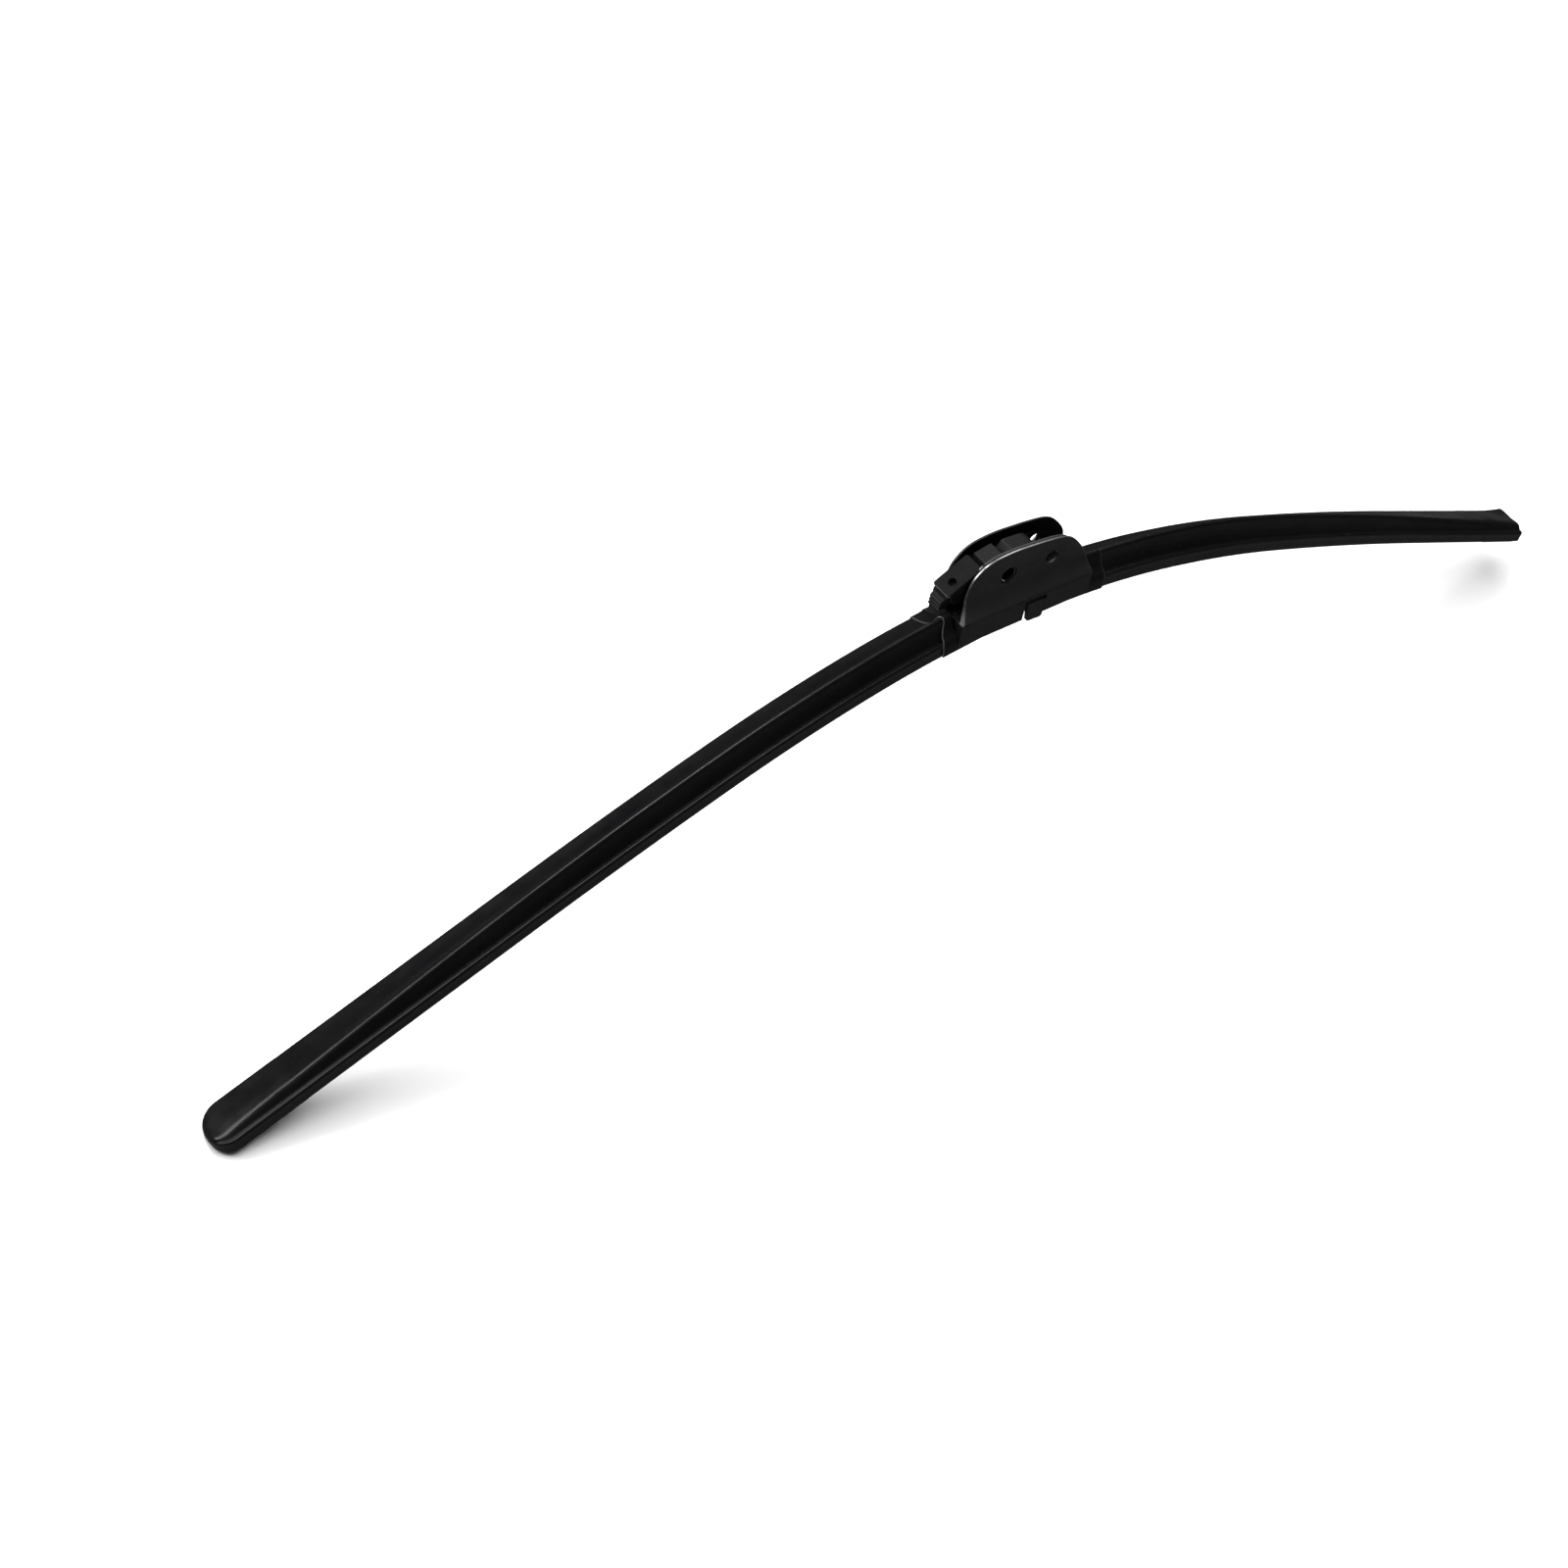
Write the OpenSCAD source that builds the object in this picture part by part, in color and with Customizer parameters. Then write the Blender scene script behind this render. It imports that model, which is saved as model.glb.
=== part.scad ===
// Frameless windshield wiper blade with a multi-fit connector, rubber lip down.
// Millimetres, +Z up, +X along the blade towards its shorter end.
// The origin is on the axis of the arm pivot, midway between the bracket walls.

/* [Blade] */
// Length along the blade from the connector to the left tip
left_length = 317.3; // [250:0.1:360]
// Length along the blade from the connector to the right tip
right_length = 280.3; // [240:0.1:340]
// How much shorter the front corner of the right tip is
tip_slant = 7.5; // [0:0.1:8]
// Bend radius of the beam at the connector
bend_radius_mid = 286; // [250:1:400]
// Bend radius of the beam next to the connector
bend_radius_near = 450; // [400:1:800]
// Bend radius of the beam before its straight ends
bend_radius_far = 1500; // [1000:10:3000]
// Height of the spoiler crest above its front ledge
crest_height = 7; // [5:0.1:9]
// Depth of the rubber lip's edge below the front ledge
lip_depth = 10.5; // [9:0.1:12]

/* [Rails] */
// Width of each spring steel rail
rail_width = 4.15; // [3.5:0.05:4.15]
// Thickness of each spring steel rail
rail_thickness = 1; // [0.7:0.05:1]
// Distance from the rubber's middle to a rail's inner edge
rail_inner = 1.05; // [1.05:0.05:1.2]

/* [Connector] */
// Clear width between the bracket walls
channel_width = 9.2; // [9.2:0.1:10]
// Thickness of a bracket wall
wall = 0.9; // [0.8:0.05:1.2]
// Radius of the large holes that hold the pivot tube
large_hole_radius = 3.3; // [3.2:0.05:3.4]
// Bore radius of the pivot tube
tube_bore_radius = 2.45; // [2.4:0.05:2.5]
// Radius of the small holes for the other pin size
small_hole_radius = 2.55; // [2.4:0.05:2.6]
// Distance from the pivot to the small holes
small_hole_x = 18.4; // [17:0.1:20]
// Running clearance of the adapter on the pivot tube
running_gap = 0.05; // [0.02:0.01:0.1]
// Thickness of an adapter cheek
cheek = 0.8; // [0.6:0.05:1]
// Number of grip ridges on the release button
ridge_count = 3; // [2:1:5]

/* [Hidden] */
eps = 0.05;
// position of the beam's highest point in the part's frame
apex_x = 10.1;
apex_z = -13;
// middle of the rubber, seen from the front ledge
mid_y = 9.3;
zone_ends = [0, 60, 120];
zone_radii = [bend_radius_mid, bend_radius_near, bend_radius_far];
angle1 = 60 / bend_radius_mid * 180 / PI;
angle2 = angle1 + 60 / bend_radius_near * 180 / PI;
angle3 = angle2 + 80 / bend_radius_far * 180 / PI;
zone_angles = [0, angle1, angle2];
// distance and height of each bend's centre from the highest point
centre1 = [0, -bend_radius_mid];
centre2 = centre1 + (bend_radius_mid - bend_radius_near) * [sin(angle1), cos(angle1)];
centre3 = centre2 + (bend_radius_near - bend_radius_far) * [sin(angle2), cos(angle2)];
zone_centres = [centre1, centre2, centre3];
straight_start = centre3 + bend_radius_far * [sin(angle3), cos(angle3)];
straight_from = 200;
wall_in = channel_width / 2;
wall_out = wall_in + wall;
tube_radius = large_hole_radius - 0.03;
cheek_out = wall_in - 0.5;
cheek_in = cheek_out - cheek;
cap_length = 31.5;
seam_z = -9.4;
base_bottom = -18.2;
base_front = -10.8;
base_back = 8.6;
// the parts inside the right cap stop short of its slanted end
right_inner = right_length - 3;

// outline of the spoiler, distance from the front ledge and height above it
spoiler_outline = [
    [-0.9, -4.7], [-0.8, -3], [-0.6, -1.2], [-0.5, -0.3], [-0.3, 0.15], [0.2, 0.35],
    [0.7, 0.3], [1.4, 0.9], [2.4, 2.4], [3.1, 4.2], [3.6, crest_height - 1],
    [3.9, crest_height - 0.3], [4.6, crest_height], [5.3, crest_height - 0.2],
    [5.8, crest_height - 1], [6.4, 4.4], [7.6, 2.3], [9.2, 0.5], [11.2, -1], [13.6, -2.2],
    [16, -3.1], [16.8, -3.5], [17, -4], [17, -4.7]];
// the same points where the crest has run out, near the tips
end_outline = [
    [-0.9, -4.7], [-0.8, -3], [-0.6, -1.2], [-0.5, -0.3], [-0.3, 0.15], [0.2, 0.35],
    [0.8, 0.4], [1.3, 0.75], [1.8, 1.3], [2.2, 1.75], [2.5, 2.05], [2.9, 2.3], [3.4, 2.4],
    [4, 2.33], [4.8, 2.1], [5.8, 1.7], [7.2, 1.1], [9.2, 0], [11.2, -1], [13.6, -2.2],
    [16, -3.1], [16.8, -3.5], [17, -4], [17, -4.7]];
// hollow for the rails and the rubber's head, measured from the rubber's middle
rail_slot = [
    [-3.3, -7], [-3.3, -4.25], [-5.25, -4.25], [-5.25, -3.15], [-3.1, -3.15], [-3.1, -1.85],
    [3.1, -1.85], [3.1, -3.15], [5.25, -3.15], [5.25, -4.25], [3.3, -4.25], [3.3, -7]];
slot_edge = [
    [3.3, -4.7], [3.3, -4.25], [5.25, -4.25], [5.25, -3.15], [3.1, -3.15], [3.1, -1.85],
    [-3.1, -1.85], [-3.1, -3.15], [-5.25, -3.15], [-5.25, -4.25], [-3.3, -4.25], [-3.3, -4.7]];
// outer outline of a collar, which bridges the ledge and the trough
collar_outline = [
    [-1.45, -4.8], [-1.42, -3], [-1.25, -1.2], [-0.85, 0.1], [-0.25, 1], [0.7, 1.75], [1.7, 2.9],
    [2.55, 4.4], [3.15, 6.1], [3.5, 6.85], [4.05, 7.3], [4.65, 7.4], [5.45, 7.15], [6.05, 6.3],
    [6.75, 4.5], [7.9, 2.5], [9.4, 0.8], [11.4, -0.65], [13.8, -1.85], [16.1, -2.75],
    [17.05, -3.25], [17.35, -3.9], [17.35, -4.8]];
collar_opening = [
    [-5.4, -7], [-5.4, -3], [-3.2, -3], [-3.2, -1.7], [3.2, -1.7], [3.2, -3], [5.4, -3], [5.4, -7]];
rubber_outline = [
    [-3.05, -1.9], [3.05, -1.9], [3.05, -3.15], [1, -3.15], [1, -4.25], [3, -4.25],
    [3, -5.1], [0.55, -5.1], [0.55, -6.3], [1.9, -6.3], [1.5, -7.2], [0.45, -9.9],
    [0.45, -lip_depth], [-0.45, -lip_depth], [-0.45, -9.9], [-1.5, -7.2], [-1.9, -6.3],
    [-0.55, -6.3], [-0.55, -5.1], [-3, -5.1], [-3, -4.25], [-1, -4.25], [-1, -3.15],
    [-3.05, -3.15]];

// distances along the beam where its bends are divided
bend_stops = concat(
    [for (s = [-200 : 10 : -130]) s], [for (s = [-120 : 6 : -66]) s],
    [for (s = [-60 : 5 : 60]) s], [for (s = [66 : 6 : 120]) s], [for (s = [130 : 10 : 200]) s]);
tail_stops = [for (u = [212 : 12 : 280]) u];

function centred(pts) = [for (p = pts) [p[0] - mid_y, p[1]]];
function left_of(a, b) = [-(b[1] - a[1]), b[0] - a[0]] / norm(b - a);
// the same outline moved outwards by d, for a clockwise list of points
function grown(pts, d) = [
    for (i = [0 : len(pts) - 1])
        let (
            a = pts[(i + len(pts) - 1) % len(pts)],
            b = pts[(i + 1) % len(pts)],
            n1 = left_of(a, pts[i]),
            n2 = left_of(pts[i], b))
            pts[i] + (n1 + n2) / (1 + n1 * n2) * d];
function box_outline(y0, y1, n0, n1) = [[y0, n0], [y0, n1], [y1, n1], [y1, n0]];
function zone_of(u) = u < zone_ends[1] ? 0 : u < zone_ends[2] ? 1 : 2;
function slope_at(u) = u >= straight_from ? angle3 :
    zone_angles[zone_of(u)] + (u - zone_ends[zone_of(u)]) / zone_radii[zone_of(u)] * 180 / PI;
function beam_at(u) = u >= straight_from
    ? straight_start + (u - straight_from) * [cos(angle3), -sin(angle3)]
    : zone_centres[zone_of(u)] + zone_radii[zone_of(u)] * [sin(slope_at(u)), cos(slope_at(u))];
function side_of(s) = s < 0 ? -1 : 1;
// a point of the beam's side view, n above the ledge line at a signed distance s
function side_point(s, n) =
    let (p = beam_at(abs(s)), a = slope_at(abs(s)))
        [apex_x + side_of(s) * (p[0] + n * sin(a)), apex_z + p[1] + n * cos(a)];
function ring_at(s, pts) = [
    for (p = pts) let (q = side_point(s, p[1])) [q[0], p[0], q[1]]];
function stops_between(stops, s0, s1) =
    concat([s0], [for (s = stops) if (s > s0 + 1 && s < s1 - 1) s], [s1]);
// share of the crest that has run out at a distance from the connector
function run_out(u, tip) = u < 120 ? 0 : min(1, pow((u - 120) / (tip - cap_length - 120), 2.2));
function spoiler_at(u, tip) = concat(
    centred(spoiler_outline) * (1 - run_out(u, tip)) + centred(end_outline) * run_out(u, tip),
    slot_edge);

spoiler_shape = centred(spoiler_outline);
end_shape = centred(end_outline);

// closed skin over a list of rings with the same number of points
module skin(rings) {
    n = len(rings[0]);
    last = len(rings) - 1;
    polyhedron(
        points = [for (r = rings) each r],
        faces = concat(
            [[for (j = [n - 1 : -1 : 0]) j]],
            [[for (j = [0 : n - 1]) last * n + j]],
            [for (i = [0 : last - 1], j = [0 : n - 1])
                [i * n + j, i * n + (j + 1) % n, (i + 1) * n + (j + 1) % n]],
            [for (i = [0 : last - 1], j = [0 : n - 1])
                [i * n + j, (i + 1) * n + (j + 1) % n, (i + 1) * n + j]]),
        convexity = 10);
}

// an outline bent along the middle of the beam, between signed distances
module bent(pts, s0, s1) {
    r = bend_radius_mid;
    a0 = 90 - s1 / r * 180 / PI;
    a1 = 90 - s0 / r * 180 / PI;
    translate([apex_x, 0, apex_z - r])
        rotate([90, 0, 0])
            rotate([0, 0, a0])
                rotate_extrude(angle = a1 - a0, $fn = 720)
                    polygon([for (p = pts) [r + p[1], -p[0]]]);
}

// moves to a place on a straight end, with local z along the blade
module on_straight(side, u) {
    p = beam_at(u);
    translate([apex_x + side * p[0], 0, apex_z + p[1]])
        rotate([0, side * (90 + angle3), 0])
            children();
}

module straight(pts, side, u0, u1) {
    on_straight(side, u0)
        linear_extrude(height = u1 - u0)
            polygon([for (p = pts) [-side * p[1], p[0]]]);
}

module side_view(y0, y1) {
    translate([0, y1, 0])
        rotate([90, 0, 0])
            linear_extrude(height = y1 - y0)
                children();
}

// everything above the falling top of an end cap
module above_cap(side, tip) {
    steps = 8;
    top = [for (i = [0 : steps])
        let (t = i / steps)
            [-side * (3.3 - 2.9 * pow(t, 1.6)), t * (cap_length + 1)]];
    on_straight(side, tip - cap_length)
        rotate([90, 0, 0])
            translate([0, 0, -20])
                linear_extrude(height = 40)
                    polygon(concat(top, [[-side * 12, cap_length + 1], [-side * 12, 0]]));
}

// ends of the caps rounded as seen from above, with the front corner shorter by the slant
module rounded_tip(side, tip, radius, slant, front, back) {
    corner = radius - cap_length;
    on_straight(side, tip - cap_length)
        rotate([0, 90, 0])
            translate([0, 0, -15])
                linear_extrude(height = 30)
                    polygon(concat(
                        [[0, front], [0, back]],
                        [for (a = [90 : -15 : 0])
                            [corner - radius * cos(a), back - radius + radius * sin(a)]],
                        [for (a = [0 : 15 : 90])
                            [corner + slant - radius * cos(a), front + radius - radius * sin(a)]]));
}

module spoiler(side, tip, first) {
    stops = concat(
        stops_between(concat([for (s = bend_stops) if (s > 0) s], tail_stops), first, tip - cap_length),
        [tip - cap_length + 7]);
    skin(side > 0
        ? [for (u = stops) ring_at(u, spoiler_at(u, tip))]
        : [for (i = [len(stops) - 1 : -1 : 0]) ring_at(-stops[i], spoiler_at(stops[i], tip))]);
}

module spoiler_left() {
    color("#1b1b1d")
        spoiler(-1, left_length, 32.2);
}

module spoiler_right() {
    color("#1b1b1d")
        spoiler(1, right_length, 25.2);
}

module rail(y0) {
    stops = stops_between(bend_stops, 6.5 - left_length, right_inner - 6.5);
    side_view(y0, y0 + rail_width)
        polygon(concat(
            [for (s = stops) side_point(s, -3.2)],
            [for (i = [len(stops) - 1 : -1 : 0]) side_point(stops[i], -3.2 - rail_thickness)]));
}

module front_rail() {
    color("#6d6f73")
        rail(-rail_inner - rail_width);
}

module rear_rail() {
    color("#6d6f73")
        rail(rail_inner);
}

module wiper_rubber() {
    color("#111112")
        skin([for (s = stops_between(bend_stops, 12.5 - left_length, right_inner - 15))
            ring_at(s, rubber_outline)]);
}

module end_cap(side, tip, radius, slant, inner_tip) {
    from = tip - cap_length;
    difference() {
        intersection() {
            straight(grown(end_shape, 0.5), side, from, tip);
            rounded_tip(side, tip, radius, slant, -mid_y - 1.4, 17.5 - mid_y);
        }
        above_cap(side, tip);
        straight(grown(end_shape, eps), side, from - 1, from + 7.2);
        straight(rail_slot, side, from - 1, inner_tip - 12);
        straight(box_outline(-5.95, 5.95, -4.95, -2.45), side, from + 7, inner_tip - 6);
    }
}

module end_cap_left() {
    color("#161617")
        end_cap(-1, left_length, 7, 0, left_length);
}

module end_cap_right() {
    color("#161617")
        end_cap(1, right_length, 3, tip_slant, right_inner);
}

module rail_clip(side, tip) {
    difference() {
        straight(box_outline(-5.9, 5.9, -4.9, -2.5), side, tip - 11.5, tip - 7);
        straight(box_outline(-5.25, 5.25, -4.25, -3.15), side, tip - 12, tip - 6.5);
    }
}

module rail_clip_left() {
    color("#8a8c90")
        rail_clip(-1, left_length);
}

module rail_clip_right() {
    color("#8a8c90")
        rail_clip(1, right_inner);
}

module rail_clamp(side) {
    middle = side * 12;
    difference() {
        bent(box_outline(-6.1, 6.1, -5.1, -1), middle - 3, middle + 3);
        bent(box_outline(-5.25, 5.25, -4.25, -1.85), middle - 4, middle + 4);
        bent(box_outline(-3.3, 3.3, -6, -4), middle - 4, middle + 4);
    }
}

module rail_clamp_left() {
    color("#8a8c90")
        rail_clamp(-1);
}

module rail_clamp_right() {
    color("#8a8c90")
        rail_clamp(1);
}

module latch_pocket(front, back) {
    translate([6.1, front, base_bottom - 2])
        cube([8.7, back - front, seam_z - 1 - base_bottom + 2]);
}

module latch_pin_hole(y) {
    translate([3.4, y, -12.3])
        rotate([0, 90, 0])
            cylinder(r = 0.62, h = 13.6, $fn = 24);
}

// collar round the end of a spoiler, with a closed wall against the base
module collar(s0, s1, pocket0, pocket1, cut_x) {
    difference() {
        bent(centred(collar_outline), s0, s1);
        bent(grown(spoiler_shape, eps), pocket0, pocket1);
        bent(collar_opening, s0 - 1, s1 + 1);
        translate([cut_x, -20, -40])
            cube([10, 40, 40]);
    }
}

module connector_base() {
    color("#2a2a2c")
        difference() {
            side_view(base_front, base_back)
                polygon([
                    [-21.1, seam_z], [34.1, seam_z], [34.1, base_bottom - 0.5], [26, base_bottom],
                    [-11, base_bottom - 0.1], [-21.1, base_bottom - 1.3]]);
            // low far corner behind the nose
            translate([-22, 0, 0])
                rotate([90, 0, 90])
                    linear_extrude(height = 4.6)
                        polygon([
                            [-3.2, -8], [-2.9, -10], [-1.7, -12], [0, -13.6], [2, -14.7], [5, -15.8],
                            [7.5, -16.8], [8, -19], [10, -19], [10, -8]]);
            bent(rail_slot, -34, 34);
            bent(box_outline(-6.15, 6.15, -7, -0.95), -15.05, -8.95);
            bent(box_outline(-6.15, 6.15, -7, -0.95), 8.95, 15.05);
            latch_pocket(base_front - 1, base_front + 2.9);
            latch_pocket(base_back - 2.9, base_back + 1);
            latch_pin_hole(base_front + 1.3);
            latch_pin_hole(base_back - 1.3);
            for (x = [-9.9, 30])
                translate([x, 0, -13.4])
                    cylinder(r = 1.32, h = 5, $fn = 32);
        }
}

module collar_left() {
    color("#262628")
        collar(-36, -29, -37, -31.9, -21.13);
}

module collar_right() {
    color("#262628")
        collar(22, 31.2, 24.9, 33, 24.13);
}

// side view of a bracket wall
wall_outline = [
    [-20.9, seam_z], [-20.3, -8.8], [-19.5, -7.9], [-18.8, -7], [-18.2, -5.9], [-17.7, -4.5],
    [-17.3, -2.7], [-16.9, -0.8], [-16.5, 1.1], [-15.9, 3], [-15, 4.6], [-13.8, 6], [-12.5, 7.2],
    [-10.9, 8.2], [-8.9, 8.9], [-6.5, 9.4], [-3.4, 9.7], [0.3, 9.8], [3.9, 9.6], [7.4, 9.25],
    [11, 8.9], [14.5, 8.45], [17, 8.1], [19.2, 7.7], [21.2, 7.25], [23, 6.65], [24.7, 5.8],
    [26.3, 4.7], [28.2, 3], [29.9, 1.1], [31.4, -0.8], [32.6, -2.8], [33.3, -4.7], [33.7, -6.4],
    [34.1, seam_z]];

// end view of the bracket: floor, two walls and the flared skirts
bracket_section = [
    [base_front, seam_z], [base_front + 0.15, -8.95], [-10.05, -8.5], [-9.35, -8], [-8.7, -7.45],
    [-8.1, -6.85], [-7.55, -6.2], [-7.05, -5.5], [-6.6, -4.75], [-6.22, -3.95], [-5.92, -3.1],
    [-5.7, -2.2], [-5.56, -1.2], [-wall_out, -0.2], [-wall_out, 10], [-wall_in, 10],
    [-wall_in, seam_z + 1.1], [wall_in, seam_z + 1.1], [wall_in, 10], [wall_out, 10],
    [wall_out, -2.8], [5.6, -4.2], [5.82, -5.4], [6.2, -6.5], [6.75, -7.5], [7.5, -8.35],
    [base_back - 0.2, -9], [base_back, seam_z]];

module bracket() {
    color("#303033")
        difference() {
            intersection() {
                translate([-25, 0, 0])
                    rotate([90, 0, 90])
                        linear_extrude(height = 65)
                            polygon(bracket_section);
                translate([0, 15, 0])
                    rotate([90, 0, 0])
                        linear_extrude(height = 30)
                            polygon(wall_outline);
            }
            // far skirt starts behind the nose
            translate([-25, wall_out + 0.02, -10])
                cube([7.6, 10, 10]);
            translate([0, 15, 0])
                rotate([90, 0, 0])
                    cylinder(r = large_hole_radius, h = 30, $fn = 64);
            translate([small_hole_x, 15, 0])
                rotate([90, 0, 0])
                    cylinder(r = small_hole_radius, h = 30, $fn = 64);
            for (x = [-9.9, 30])
                translate([x, 0, -12])
                    cylinder(r = 1.32, h = 5, $fn = 32);
        }
}

module rivet(x) {
    translate([x, 0, -13.3])
        cylinder(r = 1.3, h = seam_z + 14.6, $fn = 32);
    translate([x, 0, seam_z + 1.12])
        cylinder(r = 2.4, h = 0.8, $fn = 32);
}

module rivet_left() {
    color("#77797d")
        rivet(-9.9);
}

module rivet_right() {
    color("#77797d")
        rivet(30);
}

module pivot_tube() {
    color("#c9cbce")
        translate([0, wall_out - 0.3, 0])
            rotate([90, 0, 0])
                difference() {
                    cylinder(r = tube_radius, h = 2 * wall_out - 0.6, $fn = 64);
                    translate([0, 0, -1])
                        cylinder(r = tube_bore_radius, h = 2 * wall_out + 2, $fn = 64);
                }
}

module pivot_washer() {
    color("#c9cbce")
        translate([0, cheek_in - 0.05, 0])
            rotate([90, 0, 0])
                difference() {
                    cylinder(r = 5.4, h = 0.7, $fn = 64);
                    translate([0, 0, -1])
                        cylinder(r = tube_radius + running_gap + 0.03, h = 3, $fn = 64);
                }
}

// side view of an adapter cheek
cheek_outline = [
    [-22.4, -0.6], [-18.2, 2.1], [-13.2, 5.2], [-12.2, 6.9], [-10.5, 7.9], [-6.5, 9.1], [0.3, 9.4],
    [7.4, 8.8], [14.5, 8.1], [18.9, 7.4], [22.6, 6.4], [24.8, 5], [25.4, 4], [25, 3.2],
    [15.6, 3.2], [14, 0], [11, -3.2], [6, -5], [0, -5.6], [-8, -5.8], [-14, -5.8],
    [-20.3, -5.8], [-21.9, -4.4]];

// the far cheek is lower, and reaches round the small hole behind it
far_cheek_outline = [
    [-22.4, -0.6], [-18.2, 2.1], [-13.2, 5.2], [-12.2, 5.5], [-11.2, 5.1], [0, 4.9], [14, 4.3],
    [17.6, 3.9], [20.4, 3.1], [22, 1.6], [22.3, 0], [22, -1.6], [21, -2.9], [19.2, -3.3],
    [16, -3.8], [12, -4.6], [6, -5.2], [0, -5.6], [-8, -5.8], [-14, -5.8], [-20.3, -5.8],
    [-21.9, -4.4]];

module adapter() {
    color("#252527")
        difference() {
            union() {
                side_view(-cheek_out, -cheek_in)
                    polygon(cheek_outline);
                side_view(cheek_in, cheek_out)
                    polygon(far_cheek_outline);
                // sloping roof of the nose
                side_view(-cheek_out + 0.1, cheek_out - 0.1)
                    polygon([
                        [-24, -0.95], [-23.5, -0.7], [-12, 6.55], [-11.6, 6.6], [-11.3, 6.2], [-11.3, 5.6],
                        [-23.2, -1.9], [-23.9, -1.7]]);
                // inner wall behind the button
                side_view(-cheek_in, cheek_in)
                    polygon([[-13.6, -5.8], [-12.4, -5.8], [-12.4, 5.6], [-13.6, 4.8]]);
                // block beside the hub, flush with the near cheek
                side_view(-cheek_in, 2.4)
                    polygon([
                        [-10.3, 4.2], [-10.2, 6.9], [-9.8, 7.5], [-3.8, 8.7], [-3.4, 8.5], [-2.9, 4],
                        [-4, 1], [-8.9, 1]]);
                side_view(-cheek_in, 2.45)
                    circle(r = 4.6, $fn = 64);
                // rear bridge, high beside the near cheek with a slope on its left
                side_view(-cheek_in, 2.4)
                    polygon([
                        [-0.9, 5.4], [1, 8.2], [1.7, 8.6], [8.8, 7.9], [10.4, 7.4], [11.6, 6.4],
                        [12.2, 5], [12.4, 3], [3.4, 2.6], [1, 4]]);
                side_view(-cheek_in, cheek_in)
                    polygon([
                        [3.4, 3.2], [5.6, 4.4], [10.6, 4.3], [12.2, 4.1],
                        [13.4, 3.6], [14, 2.2], [14, 0], [11, -1], [6, -1], [3.6, 0.6]]);
            }
            side_view(-6, 6)
                circle(r = tube_radius + running_gap, $fn = 64);
            side_view(cheek_in - 1, cheek_out + 1)
                translate([small_hole_x, 0])
                    circle(r = small_hole_radius + 0.05, $fn = 64);
            // room for the washer
            side_view(2.45, cheek_in)
                circle(r = 5.5, $fn = 64);
            // round hole in the roof of the nose
            translate([-19.9, 0.6, 1.2])
                rotate([0, -32, 0])
                    translate([0, 0, -3])
                        cylinder(r = 1.4, h = 6, $fn = 40);
        }
}

module release_button() {
    color("#1f1f21")
        intersection() {
            side_view(-2.5, 2.7)
                polygon(concat(
                    [[-23.4, -8.9], [-22.6, -8.5], [-20.9, -7.8], [-20.6, -5.4], [-16.6, -5.4],
                        [-16.6, 1], [-21.6, -2.7], [-24.7, -3.5]],
                    [for (i = [0 : ridge_count - 1], j = [0 : 2])
                        let (pitch = 4.4 / ridge_count)
                            [-24.7 - [0, 0.5, 0.5][j], -3.8 - pitch * (i + [0.05, 0.3, 0.7][j])]],
                    [[-24.7, -8.2]]));
            translate([-26, 0, 0])
                rotate([90, 0, 90])
                    linear_extrude(height = 12)
                        polygon([[-2.5, 2], [-2.5, -7], [-1.2, -9], [1.6, -9], [2.7, -8], [2.7, 2]]);
        }
}

// bent leaf between the button and the wall behind it
module button_spring() {
    color("#9a9ca0")
        side_view(-1.4, 1.4)
            polygon([
                [-16.5, -4.4], [-16.2, -4.4], [-13.75, -2.2], [-16.2, 0], [-16.5, 0],
                [-16.5, -0.2], [-14.2, -2.2], [-16.5, -4.2]]);
}

// snap tab in its pocket, hanging from its pin
module latch(front, dir) {
    difference() {
        union() {
            side_view(dir > 0 ? front : front - 1.3, dir > 0 ? front + 1.3 : front)
                polygon([
                    [7.6, -18.3], [7.9, -18.8], [8.5, -19], [13.3, -19.3], [13.9, -19.1], [14.2, -18.5],
                    [14, -12.3], [13.8, -11.6], [13.3, -11.3], [7.2, -11.1], [6.7, -11.3], [6.5, -11.8]]);
            translate([6.5, front + dir * 1.9, -12.3])
                rotate([0, 90, 0])
                    cylinder(r = 1.15, h = 7.5, $fn = 32);
        }
        translate([5, front + dir * 1.9, -12.3])
            rotate([0, 90, 0])
                cylinder(r = 0.65, h = 11, $fn = 24);
    }
}

module latch_near() {
    color("#2a2a2c")
        latch(base_front - 0.6, 1);
}

module latch_far() {
    color("#2a2a2c")
        latch(base_back + 0.6, -1);
}

module latch_pin(y) {
    translate([3.6, y, -12.3])
        rotate([0, 90, 0])
            cylinder(r = 0.6, h = 13.2, $fn = 24);
}

module latch_pin_near() {
    color("#9a9ca0")
        latch_pin(base_front + 1.3);
}

module latch_pin_far() {
    color("#9a9ca0")
        latch_pin(base_back - 1.3);
}

wiper_rubber();
front_rail();
rear_rail();
spoiler_left();
spoiler_right();
end_cap_left();
end_cap_right();
rail_clip_left();
rail_clip_right();
connector_base();
collar_left();
collar_right();
bracket();
rail_clamp_left();
rail_clamp_right();
rivet_left();
rivet_right();
pivot_tube();
pivot_washer();
adapter();
release_button();
button_spring();
latch_near();
latch_far();
latch_pin_near();
latch_pin_far();
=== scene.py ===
import math

import bpy
import bmesh
from mathutils import Matrix, Vector


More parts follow.
